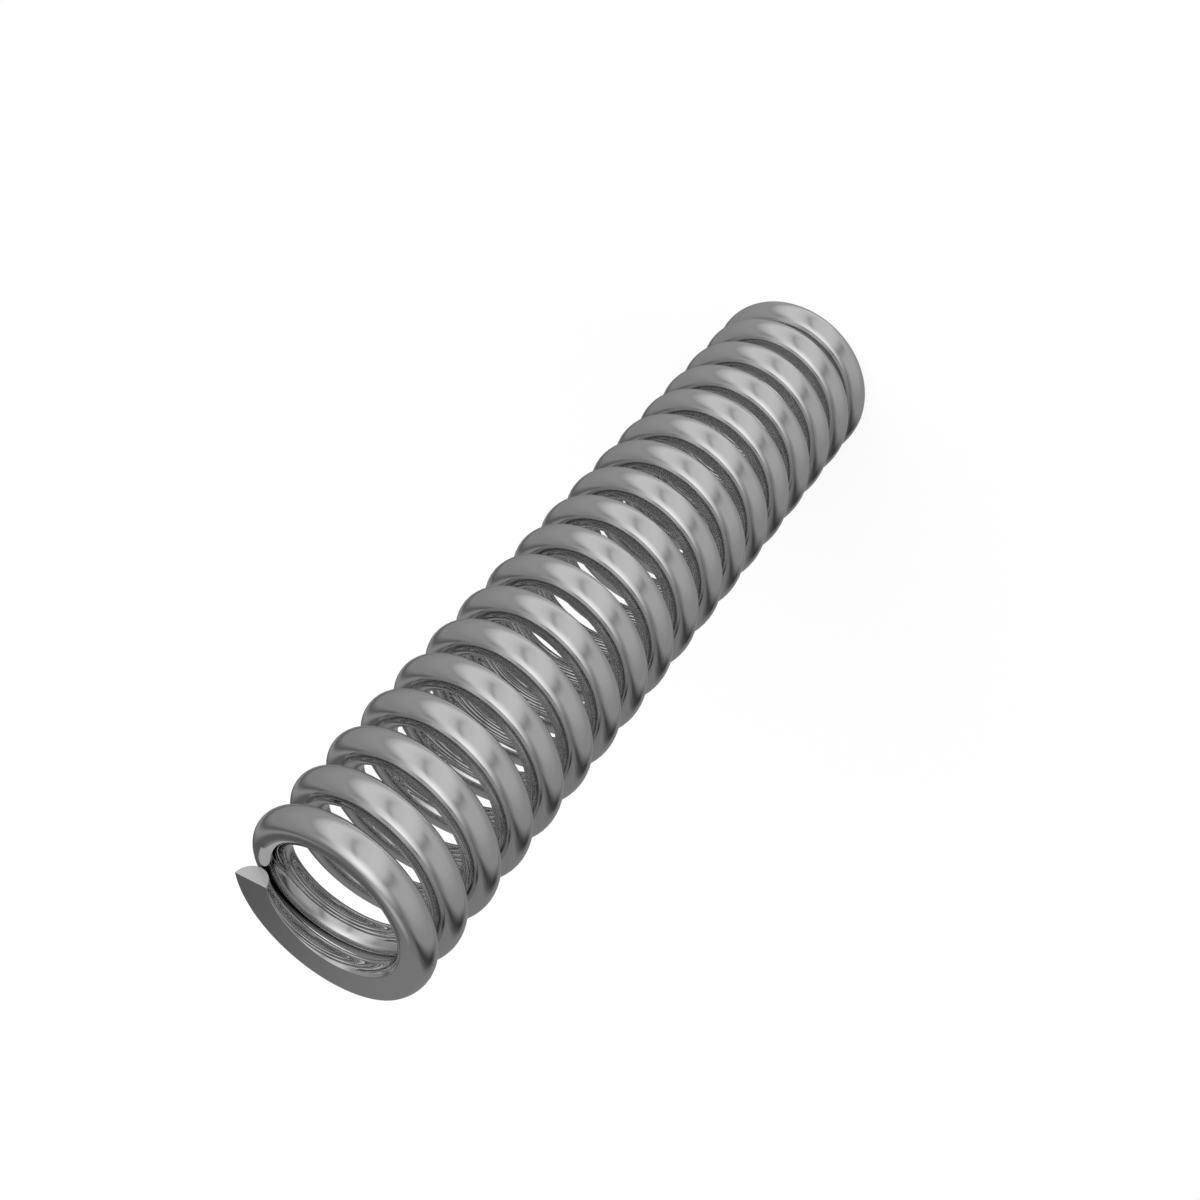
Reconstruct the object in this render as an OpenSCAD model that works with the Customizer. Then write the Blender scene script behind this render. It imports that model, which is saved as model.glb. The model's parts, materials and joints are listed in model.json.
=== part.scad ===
// Compression spring, wound left-handed from one length of round steel wire.
// The last turn at each end is closed against the next one and ground flat, square to the axis.
// The spring stands on its lower ground face: Z runs up the axis, and Z = 0 is that face.

/* [Wire] */
// Diameter of the round wire
wire_d = 2; // [1.5:0.05:2.6]
// Thickness left at each tip after grinding
tip_thickness = 0.89; // [0.6:0.01:1.4]

/* [Coil] */
// Diameter over the outside of the coils
coil_od = 11.5; // [8:0.1:20]
// Unloaded length between the two ground faces
free_length = 53.9; // [42:0.1:110]
// Turns of wire from tip to tip
total_turns = 18.23; // [8:0.01:22]
// Hand of the winding
winding = "left"; // [left, right]

/* [Ends] */
// Turns at each end that lie closed against the next one
closed_turns = 0.9; // [0.7:0.05:2]
// Part of a turn in which the wire leaves the closed turn
lead_turns = 0.11; // [0.05:0.01:0.5]
// Clearance between a closed turn and the next one
closed_gap = 0.02; // [0.02:0.01:0.2]

/* [Hidden] */

hand = winding == "left" ? -1 : 1;
sides = 12;
rings_per_turn = 24;
rings = ceil(total_turns * rings_per_turn);

coil_r = (coil_od - wire_d) / 2;
// The facets enclose the same area as the round wire, so the weight is true
facet_r = wire_d / 2 * sqrt(PI / (sides / 2 * sin(360 / sides)));

half_turns = total_turns / 2;
tip_height = tip_thickness - wire_d / 2;
closed_pitch = wire_d + closed_gap;
open_turns = half_turns - closed_turns - lead_turns / 2;
open_rise = free_length / 2 - tip_height - closed_pitch * half_turns;
open_pitch = closed_pitch + open_rise / open_turns;

// Turns beyond the closed end turn, let in smoothly over the lead
function open_part(turns) =
    turns <= closed_turns ? 0
    : turns < closed_turns + lead_turns ? pow(turns - closed_turns, 2) / (2 * lead_turns)
    : turns - closed_turns - lead_turns / 2;

// Height gained from a tip by the centre of the wire
function rise(turns) = closed_pitch * turns + (open_pitch - closed_pitch) * open_part(turns);

// Height of the centre of the wire, counting turns up from the lower tip
function wire_height(turn) =
    turn < half_turns
    ? tip_height + rise(turn)
    : free_length - tip_height - rise(total_turns - turn);

// Pitch at a turn, which leans each section square to the wire
function pitch_at(turn) =
    let (step = 0.5 / rings_per_turn)
    (wire_height(turn + step) - wire_height(turn - step)) / (2 * step);

// One section of the wire as a ring of points; the upper tip lies on the X axis
function section(turn) =
    let (
        angle = hand * 360 * (turn - total_turns),
        out = [cos(angle), sin(angle), 0],
        along = hand * [-sin(angle), cos(angle), 0],
        lean = atan(pitch_at(turn) / (2 * PI * coil_r)),
        up = cos(lean) * [0, 0, 1] - sin(lean) * along,
        centre = coil_r * out + [0, 0, wire_height(turn)]
    )
    [for (i = [0 : sides - 1])
        let (a = (i + 0.5) * 360 / sides)
        centre + facet_r * (cos(a) * out + hand * sin(a) * up)];

// Wire before grinding
module wound_wire() {
    points = [for (k = [0 : rings]) each section(total_turns * k / rings)];
    walls = [for (k = [0 : rings - 1], i = [0 : sides - 1])
        let (
            a = k * sides + i,
            b = k * sides + (i + 1) % sides
        )
        each [[a, b, b + sides], [a, b + sides, a + sides]]];
    lower_tip = [for (i = [sides - 1 : -1 : 0]) i];
    upper_tip = [for (i = [0 : sides - 1]) rings * sides + i];
    polyhedron(points, concat([lower_tip], walls, [upper_tip]));
}

// Block that takes off everything past one end
module grinding_block() {
    width = coil_od + 2 * wire_d;
    translate([-width / 2, -width / 2, 0])
        cube([width, width, 2 * wire_d]);
}

module spring() {
    color("#b4b4b6")
        difference() {
            wound_wire();
            translate([0, 0, -2 * wire_d]) grinding_block();
            translate([0, 0, free_length]) grinding_block();
        }
}

spring();
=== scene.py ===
import json
import math

import bpy
from mathutils import Matrix, Vector


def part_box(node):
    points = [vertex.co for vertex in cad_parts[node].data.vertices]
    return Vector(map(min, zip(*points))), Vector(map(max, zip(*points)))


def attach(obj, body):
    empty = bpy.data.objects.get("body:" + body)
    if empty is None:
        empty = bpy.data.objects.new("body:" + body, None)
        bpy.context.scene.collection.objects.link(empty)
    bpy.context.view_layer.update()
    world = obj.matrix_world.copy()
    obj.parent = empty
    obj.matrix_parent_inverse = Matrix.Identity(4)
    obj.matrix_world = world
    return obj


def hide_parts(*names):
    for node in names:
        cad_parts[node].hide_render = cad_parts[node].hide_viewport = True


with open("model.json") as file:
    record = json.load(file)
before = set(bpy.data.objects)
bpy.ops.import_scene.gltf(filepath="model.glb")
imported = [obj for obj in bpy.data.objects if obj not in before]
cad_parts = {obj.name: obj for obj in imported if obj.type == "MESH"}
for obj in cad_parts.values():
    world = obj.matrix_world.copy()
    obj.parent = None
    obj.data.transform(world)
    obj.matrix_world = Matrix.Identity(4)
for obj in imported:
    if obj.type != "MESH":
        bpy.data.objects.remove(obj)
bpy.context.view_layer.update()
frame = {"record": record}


# The wire. The whole spring is one length of round, hard-drawn steel wire, coiled left-handed.
# The turn at each end is closed against the next one, its tip is cut square, and a grinding
# wheel has taken the end flat, square to the axis. The sharp edges are broken by tumbling.

MM = 0.001
LEFT_HAND = -1.0


class Socket:
    """An output of a node. Python's operators on it add the Math node that works them out."""

    def __init__(self, tree, source=None):
        self.tree = tree
        self.source = source

    def node(self, kind, inputs=None, output=0, **settings):
        """Adds any node to the tree: its settings first, then its sockets' values or links."""
        made = self.tree.nodes.new(kind)
        for name, value in settings.items():
            setattr(made, name, value)
        for name, value in (inputs or {}).items():
            if isinstance(value, Socket):
                self.tree.links.new(value.source, made.inputs[name])
            else:
                made.inputs[name].default_value = value
        return Socket(self.tree, made.outputs[output] if made.outputs else None)

    def maths(self, operation, *terms):
        """A Math node. ShaderNodeMath works in shader and geometry trees alike."""
        return self.node("ShaderNodeMath", dict(enumerate(terms)), operation=operation)

    def __add__(self, other):
        return self.maths("ADD", self, other)

    def __radd__(self, other):
        return self.maths("ADD", other, self)

    def __sub__(self, other):
        return self.maths("SUBTRACT", self, other)

    def __rsub__(self, other):
        return self.maths("SUBTRACT", other, self)

    def __mul__(self, other):
        return self.maths("MULTIPLY", self, other)

    def __rmul__(self, other):
        return self.maths("MULTIPLY", other, self)

    def __truediv__(self, other):
        return self.maths("DIVIDE", self, other)

    def __rtruediv__(self, other):
        return self.maths("DIVIDE", other, self)

    def __pow__(self, other):
        return self.maths("POWER", self, other)

    def __rpow__(self, other):
        return self.maths("POWER", other, self)

    def __neg__(self):
        return self.maths("MULTIPLY", self, -1)

    def __gt__(self, other):
        return self.maths("GREATER_THAN", self, other)

    def __lt__(self, other):
        return self.maths("LESS_THAN", self, other)

    def at_least(self, low):
        return self.maths("MAXIMUM", self, low)

    def at_most(self, high):
        return self.maths("MINIMUM", self, high)

    def sin(self):
        return self.maths("SINE", self)

    def cos(self):
        return self.maths("COSINE", self)

    def step(self, start, end):
        """Goes smoothly from 0 to 1 while this value goes from start to end."""
        ends = {"Value": self, "From Min": start, "From Max": end}
        return self.node("ShaderNodeMapRange", ends, interpolation_type="SMOOTHSTEP")

    def xyz(self):
        """The three numbers of a vector."""
        return [self.node("ShaderNodeSeparateXYZ", {0: self}, output=place) for place in range(3)]


def pick(test, yes, no):
    """yes where test is 1, no where it is 0, and a share of each in between."""
    return no + test * (yes - no)


mounts = {mount["name"]: mount for mount in frame["record"]["mounts"]}
outer_radius = mounts["outside"]["dims"]["r_mm"] * MM
inner_radius = mounts["rod_way"]["dims"]["r_mm"] * MM
spring_low, spring_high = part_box("spring")
free_length = spring_high[2] - spring_low[2]
wire_radius = (outer_radius - inner_radius) / 2

# The coils are wound a little over their nominal radius. The upper tip lies a shade past +X.
over_nominal = 0.019 * MM
coil_radius = (outer_radius + inner_radius) / 2 + over_nominal
total_turns = 18.236
tip_ahead = 0.003

# About one turn is closed at each end, with a hair's breadth to its neighbour. The pitch then
# opens over a short lead. The closed turns and half of each lead rise by the closed pitch.
closed_above = 0.9
closed_below = 1.0
lead_turns = 0.11
gap_above = 0.02 * MM
gap_below = 0.1 * MM
pitch_above = 2 * wire_radius + gap_above
pitch_below = 2 * wire_radius + gap_below
held_above = closed_above + lead_turns / 2
held_below = closed_below + lead_turns / 2

# The grinding leaves less than half of the wire at the tip, so its centre lies past the flat.
tip_thickness = 0.884 * MM
tip_height = tip_thickness - wire_radius
open_rise = free_length - 2 * tip_height - pitch_above * held_above - pitch_below * held_below
open_pitch = open_rise / (total_turns - held_above - held_below)

broken_edge = 0.02 * MM
crevice_room = 0.38 * MM
rings_per_turn = 80
wire_sizes = {
    "Rings": 2 * round(total_turns * rings_per_turn / 2),
    "Sides": 48,
    "Turns": total_turns,
    "Tip ahead": tip_ahead,
    "Hand": LEFT_HAND,
    "Wire radius": wire_radius,
    "Coil radius": coil_radius,
    "Length": free_length,
    "Closed above": closed_above,
    "Closed below": closed_below,
    "Lead turns": lead_turns,
    "Pitch above": pitch_above,
    "Pitch below": pitch_below,
    "Open pitch": open_pitch,
    "Tip height": tip_height,
    "Broken edge": broken_edge,
    "Crevice": crevice_room,
}

# The rings that close each cut face, and how strongly rings and sides crowd towards the edges.
face_rings = 5
face_crowding = 2.5
ring_crowding = 60
corner_crowding = 1.7
narrowest_corner = math.radians(12)
turns_to_even_sides = 0.5


def rings_from_end(along_share, size):
    """Whether a ring belongs to the upper half, and the rings and the turns in from its end.

    The first few rings close the cut face, and the next ones crowd towards its edge.
    """
    ring = size["Rings"].maths("ROUND", along_share * size["Rings"])
    upper = ring > size["Rings"] / 2
    rings_in = ring.at_most(size["Rings"] - ring)
    run = (rings_in - face_rings).at_least(0)
    half_run = size["Rings"] / 2 - face_rings
    run_share = run / half_run
    crowded = run_share * run_share * size["Turns"] / 2
    turns_in = crowded * (half_run + ring_crowding) / (run + ring_crowding)
    return upper, rings_in, turns_in


def lay_of_wire(upper, size):
    """Two rules for the wire so many turns in from its end, and the turns that are ground.

    The rules are the height of its centre above the ground plane, and the slope of its run.
    """
    closed_turns = pick(upper, size["Closed above"], size["Closed below"])
    closed_pitch = pick(upper, size["Pitch above"], size["Pitch below"])
    extra_pitch = size["Open pitch"] - closed_pitch

    def lead_at(turns):
        return (turns - closed_turns).at_least(0).at_most(size["Lead turns"])

    def height_at(turns):
        lead = lead_at(turns)
        past_lead = (turns - closed_turns - size["Lead turns"]).at_least(0)
        open_turns = lead * lead / (2 * size["Lead turns"]) + past_lead
        return size["Tip height"] + turns * closed_pitch + open_turns * extra_pitch

    def slope_at(turns):
        pitch = closed_pitch + extra_pitch * lead_at(turns) / size["Lead turns"]
        return turns.maths("ARCTANGENT", pitch / (size["Coil radius"] * math.tau))

    ground_turns = (size["Wire radius"] - size["Tip height"]) / closed_pitch
    return height_at, slope_at, ground_turns


def ground_section(around_share, upper, flat_at, past_ground, edge):
    """A ring's section in wire radii: where it is flat, and how far each side is out and down.

    Angles go round from the point nearest the ground plane to the corner of the flat and on to
    the far point. Sides crowd towards the corner, and its edge is rounded.
    """
    corner = flat_at.maths("ARCCOSINE", flat_at)
    held = corner.at_least(pick(past_ground, math.pi / 2, narrowest_corner))
    wave = around_share.maths("PINGPONG", around_share * 4 + 1, 2) - 1
    wave = pick(upper, -wave, wave)
    crowding = pick(past_ground, 1, corner_crowding)
    away = wave.at_least(0) ** crowding * (math.pi - held)
    towards = (-wave).at_least(0) ** crowding * held
    angle = held + away - towards

    flat = angle < corner
    tiny_angle = 0.0001
    flat_out = corner.sin() * (angle / corner.at_least(tiny_angle) * (math.pi / 2)).sin()
    out = pick(flat, flat_out, angle.sin())
    down = pick(flat, flat_at, angle.cos())
    from_corner = pick(flat, corner.sin() - flat_out, angle - corner)
    bite = ((1 - from_corner / edge).at_least(0) / 2) ** 2 * edge
    return flat, out + bite * (corner.cos() - 1), down - bite * corner.sin()


def face_shrinking(rings_in, turns_in, size, edge):
    """The share to which a ring shrinks as it closes the cut face inside the broken edge."""
    run_in = turns_in * size["Coil radius"] * math.tau / size["Wire radius"]
    depth = (1 - run_in / edge).at_least(0)
    rounding = 1 - edge * (1 - depth.maths("SQRT", 1 - depth * depth))
    face_share = (rings_in / face_rings).at_most(1)
    return rounding * (1 - (1 - face_share) ** face_crowding)


def crevice_beside(turns_in, height, height_at, down, size):
    """1 deep in the crevice between turns that touch, and 0 out of it, where shade is painted into the
    steel.

    It is deepest where a turn has the least room to its neighbour. The first turn has no
    neighbour on its outer side.
    """
    reach = down * size["Wire radius"] * 2
    room_within = height_at(turns_in + 1) - height
    room_outside = height - height_at(turns_in - 1) + (turns_in < 1) * size["Wire radius"]
    room = pick(down < 0, room_within + reach, room_outside - reach)
    return room.step(size["Crevice"], size["Crevice"] / 3)


def wire_tree(material):
    """The geometry nodes that wind a sheet of rings and sides into the ground spring.

    Each end is worked out from its own ground plane, so both ends share every rule.
    """
    tree = bpy.data.node_groups.new("wound_wire", "GeometryNodeTree")
    for name, value in wire_sizes.items():
        kind = "NodeSocketInt" if isinstance(value, int) else "NodeSocketFloat"
        tree.interface.new_socket(name, in_out="INPUT", socket_type=kind)
    tree.interface.new_socket("Wire", in_out="OUTPUT", socket_type="NodeSocketGeometry")
    given = tree.nodes.new("NodeGroupInput")
    size = {name: Socket(tree, given.outputs[name]) for name in wire_sizes}
    start = Socket(tree)
    radius = size["Wire radius"]
    edge = size["Broken edge"] / radius

    sheet = start.node("GeometryNodeMeshGrid", {
        "Size X": 1.0,
        "Size Y": 1.0,
        "Vertices X": size["Rings"] + 1,
        "Vertices Y": size["Sides"] + 1,
    })
    along, around, _ = start.node("GeometryNodeInputPosition").xyz()
    along_share = along + 0.5
    around_share = around + 0.5
    upper, rings_in, turns_in = rings_from_end(along_share, size)
    height_at, slope_at, ground_turns = lay_of_wire(upper, size)
    height = height_at(turns_in)
    slope = slope_at(turns_in)

    # The section, its crevice, and the cut face, whose rings shrink to the section's middle.
    flat_at = (height / (radius * slope.cos())).at_most(1)
    past_ground = turns_in.step(ground_turns, ground_turns + turns_to_even_sides)
    flat, wide, down = ground_section(around_share, upper, flat_at, past_ground, edge)
    crevice = crevice_beside(turns_in, height, height_at, down, size)
    outward = (around_share * math.tau).cos()
    outward = outward.maths("SIGN", outward)
    shrunk = face_shrinking(rings_in, turns_in, size, edge)
    middle = (flat_at - 1) / 2
    wide = wide * shrunk * outward * radius
    down = (middle + (down - middle) * shrunk) * radius

    # From the section to the spring's own axes, and to the wire as it was before it was wound.
    turn = pick(upper, size["Turns"] - turns_in, turns_in)
    angle = (turn - size["Turns"] + size["Tip ahead"]) * size["Hand"] * math.tau
    rise = down * (upper * 2 - 1)
    out = size["Coil radius"] + wide
    back = rise * slope.sin() * size["Hand"]
    wound = start.node("ShaderNodeCombineXYZ", {
        "X": out * angle.cos() + back * angle.sin(),
        "Y": out * angle.sin() - back * angle.cos(),
        "Z": pick(upper, size["Length"] - height, height) + rise * slope.cos(),
    })
    straight = start.node("ShaderNodeCombineXYZ", {
        "X": turn * size["Coil radius"] * math.tau,
        "Y": wide,
        "Z": rise,
    })

    # What the steel needs to know of the surface, with the crevices where its colour is painted dark as
    # shade.
    cut_face = rings_in < face_rings + 0.5
    marks = {
        "ground": flat * (rings_in > face_rings - 0.5),
        "cut": cut_face,
        "crevice": crevice * (1 - cut_face),
    }
    marked = start.node("GeometryNodeStoreNamedAttribute", {
        "Geometry": sheet, "Name": "straight", "Value": straight,
    }, data_type="FLOAT_VECTOR")
    for name, value in marks.items():
        marked = start.node("GeometryNodeStoreNamedAttribute", {
            "Geometry": marked, "Name": name, "Value": value,
        }, data_type="FLOAT")

    coiled = start.node("GeometryNodeSetPosition", {"Geometry": marked, "Position": wound})
    closed = start.node("GeometryNodeMergeByDistance", {"Geometry": coiled, "Distance": 1e-7})
    turned = start.node("GeometryNodeFlipFaces", {"Mesh": closed, "Selection": size["Hand"] < 0})
    smooth = start.node("GeometryNodeSetShadeSmooth", {"Geometry": turned})
    real = start.node("GeometryNodeRealizeInstances", {"Geometry": smooth})
    finished = start.node("GeometryNodeSetMaterial", {"Geometry": real, "Material": material})
    end = tree.nodes.new("NodeGroupOutput")
    tree.links.new(finished.source, end.inputs["Wire"])
    return tree


def grey(level):
    """A colour without hue."""
    return (level, level, level, 1)


def blend(share, first, second):
    """The first colour where share is 0 and the second where it is 1, through a Mix node."""
    colours = {0: share, 6: first, 7: second}
    return share.node("ShaderNodeMix", colours, output=2, data_type="RGBA")


def spring_steel():
    """Bright drawn steel wire, nearly a mirror, with fine drawing lines along it.

    The wheel and the cutter leave it duller, and shade is painted dark into the crevices between
    touching turns.
    """
    lines_in_a_metre = (80, 9000, 9000)
    line_detail = 3.0
    drawn_roughness = 0.04
    line_roughness = 0.02
    wheel_roughness = 0.02
    cutter_roughness = 0.28
    dark_line, pale_line = grey(0.68), grey(0.72)
    # Painted shade: a near black that darkens the crevices between touching turns.
    crevice_painted_shade = grey(0.1)

    material = bpy.data.materials.new("spring_steel")
    material.use_nodes = True
    tree = material.node_tree
    tree.nodes.clear()
    start = Socket(tree)
    straight = start.node("ShaderNodeAttribute", output=1, attribute_name="straight")
    ground = start.node("ShaderNodeAttribute", output=2, attribute_name="ground")
    cut = start.node("ShaderNodeAttribute", output=2, attribute_name="cut")
    crevice = start.node("ShaderNodeAttribute", output=2, attribute_name="crevice")
    stretched = start.node("ShaderNodeVectorMath", {0: straight, 1: lines_in_a_metre},
                           operation="MULTIPLY")
    lines = start.node("ShaderNodeTexNoise",
                       {"Vector": stretched, "Scale": 1.0, "Detail": line_detail})
    marks = lines * line_roughness + ground * wheel_roughness + cut * cutter_roughness
    # The base colour takes the drawing lines, and painted shade in the crevices.
    steel = start.node("ShaderNodeBsdfPrincipled", {
        "Base Color": blend(crevice, blend(lines, dark_line, pale_line), crevice_painted_shade),
        "Metallic": 1.0,
        "Roughness": drawn_roughness + marks,
    })
    start.node("ShaderNodeOutputMaterial", {"Surface": steel})
    return material


blank = bpy.data.meshes.new("blank")
winder = bpy.data.objects.new("winder", blank)
bpy.context.collection.objects.link(winder)
winding = winder.modifiers.new("winding", "NODES")
winding.node_group = wire_tree(spring_steel())
for socket in winding.node_group.interface.items_tree:
    if socket.in_out == "INPUT":
        winding[socket.identifier] = wire_sizes[socket.name]
bpy.context.view_layer.update()
evaluated = winder.evaluated_get(bpy.context.evaluated_depsgraph_get())
wire = bpy.data.objects.new("wire", bpy.data.meshes.new_from_object(evaluated))
bpy.context.collection.objects.link(wire)
bpy.data.objects.remove(winder)
bpy.data.meshes.remove(blank)
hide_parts("spring")
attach(wire, "root")


# The floor. A large, pale, matt board, on which the spring stands upright on its lower end.
# It has a glow of its own, so it stays pale and still takes the spring's faint shadow. Polished
# steel doesn't mirror it: there the grey of the studio below shows instead.

floor_reach = 20 * free_length
floor_glow = 0.845
floor_shade = grey(0.36)
floor_corners = [
    (-floor_reach, -floor_reach, 0),
    (floor_reach, -floor_reach, 0),
    (floor_reach, floor_reach, 0),
    (-floor_reach, floor_reach, 0),
]
floor_mesh = bpy.data.meshes.new("floor")
floor_mesh.from_pydata(floor_corners, [], [(0, 1, 2, 3)])
floor = bpy.data.objects.new("floor", floor_mesh)
bpy.context.collection.objects.link(floor)
floor_material = bpy.data.materials.new("floor")
floor_material.use_nodes = True
floor_material.node_tree.nodes.clear()
start = Socket(floor_material.node_tree)
glow = start.node("ShaderNodeEmission", {"Color": grey(1), "Strength": floor_glow})
matt = start.node("ShaderNodeBsdfDiffuse", {"Color": floor_shade})
pale = start.node("ShaderNodeAddShader", {0: glow, 1: matt})
clear = start.node("ShaderNodeBsdfTransparent")
glossy_ray = start.node("ShaderNodeLightPath", output="Is Glossy Ray")
board = start.node("ShaderNodeMixShader", {0: glossy_ray, 1: pale, 2: clear})
start.node("ShaderNodeOutputMaterial", {"Surface": board})
floor_mesh.materials.append(floor_material)


# The studio. Grey walls with upright panels of soft light and dark stands between them, and
# three soft lamps overhead, all far off. They are painted on the world, by heading and tilt
# in degrees as seen from the spring, and the camera itself sees a white backdrop.

world = bpy.data.worlds.new("studio")
bpy.context.scene.world = world
world.use_nodes = True
world.node_tree.nodes.clear()
start = Socket(world.node_tree)
way = start.node("ShaderNodeTexCoord", output="Generated")
east, north, up = way.xyz()
heading = start.maths("DEGREES", start.maths("ARCTAN2", north, east))
tilt = start.maths("DEGREES", start.maths("ARCSINE", up))


def band(value, middle, half, soft):
    """1 inside a band of headings, falling to 0 over soft degrees at its edges."""
    off = value.maths("WRAP", value - middle, 180, -180)
    off = off.maths("ABSOLUTE", off)
    return off.step(half + soft / 2, half - soft / 2)


# The walls' own glow, and the panels, each with its heading, half width, soft edge and strength.
wall_glow = 0.124
panels = (
    (180, 57, 20, 0.19),
    (-154, 32, 50, 0.165),
    (-108, 19, 29, 0.53),
    (-69, 17, 24, 0.60),
    (-18, 35, 17, 0.17),
    (-33, 18, 42, 0.07),
    (34, 6, 12, 0.175),
    (90, 29, 9, 0.124),
)
light = wall_glow
for panel_heading, half, soft, strength in panels:
    light = light + band(heading, panel_heading, half, soft) * strength

# The stands, each with its heading, lean, half width, soft edge and darkness, and the tilts
# over which they all begin and end.
stands = (
    (-140, 0, 4, 16.5, 0.4),
    (-91, 0, 3.2, 6.6, 0.22),
    (127, 0.25, 9.7, 19.3, 0.8),
)
stand_foot = (-35, -12)
stand_top = (69, 54)
for stand_heading, lean, half, soft, darkness in stands:
    stand = band(heading - tilt * lean, stand_heading, half, soft)
    stand = stand * tilt.step(*stand_foot) * tilt.step(*stand_top)
    light = light * (1 - stand * darkness)

# Below, the panels fade into light from one side of the ground. Above, they fade into the
# even grey of the ceiling.
ground_fade = (-28, -83)
ground_side = -94
ground_glow = 0.335
side_glow = 0.39
side_narrowing = 3.8
turned_away = start.maths("RADIANS", heading - ground_side)
towards_side = turned_away.cos() / 2 + 0.5
ground = towards_side ** side_narrowing * side_glow + ground_glow
light = pick(tilt.step(*ground_fade), ground, light)
ceiling_fade = (32, 67)
ceiling_glow = 0.192
light = pick(tilt.step(*ceiling_fade), ceiling_glow, light)

# The lamps, each with its heading, tilt, half width and strength.
lamps = (
    (-93, 70, 40, 1.0),
    (87, 68, 20, 0.34),
    (-20, 56, 20, 0.136),
)
for lamp_heading, lamp_tilt, half, strength in lamps:
    turn_to = math.radians(lamp_heading)
    tip_to = math.radians(lamp_tilt)
    aim = (math.cos(turn_to) * math.cos(tip_to), math.sin(turn_to) * math.cos(tip_to), math.sin(tip_to))
    facing = start.node("ShaderNodeVectorMath", {0: way, 1: aim}, output=1, operation="DOT_PRODUCT")
    off = start.maths("DEGREES", start.maths("ARCCOSINE", facing))
    light = light + off.step(half, 0) * strength

backdrop = 1.0
camera_ray = start.node("ShaderNodeLightPath", output="Is Camera Ray")
shown = pick(camera_ray, backdrop, light)
glow = start.node("ShaderNodeBackground", {"Color": grey(1), "Strength": shown})
start.node("ShaderNodeOutputWorld", {"Surface": glow})


# The camera. It stands close by and looks down on the upper end, so that the near coils look
# larger than the far ones, and it is rolled so that the upright spring lies aslant in the view.

camera_distance = 101.135 * MM
azimuth = math.radians(-119.494)
elevation = math.radians(39.898)
roll = math.radians(-139.498)
camera_data = bpy.data.cameras.new("camera")
camera_data.lens = 51.23
camera_data.shift_x = -0.00072
camera_data.shift_y = -0.00082
camera_data.clip_start = 0.01
camera = bpy.data.objects.new("camera", camera_data)
bpy.context.collection.objects.link(camera)
towards = Vector((
    math.cos(azimuth) * math.cos(elevation),
    math.sin(azimuth) * math.cos(elevation),
    math.sin(elevation),
))
middle = Vector((0, 0, free_length / 2))
place = Matrix.Translation(middle + towards * camera_distance)
level = (-towards).to_track_quat("-Z", "Y").to_matrix().to_4x4()
camera.matrix_world = place @ level @ Matrix.Rotation(roll, 4, "Z")
bpy.context.scene.camera = camera
bpy.context.scene.view_settings.view_transform = "Standard"
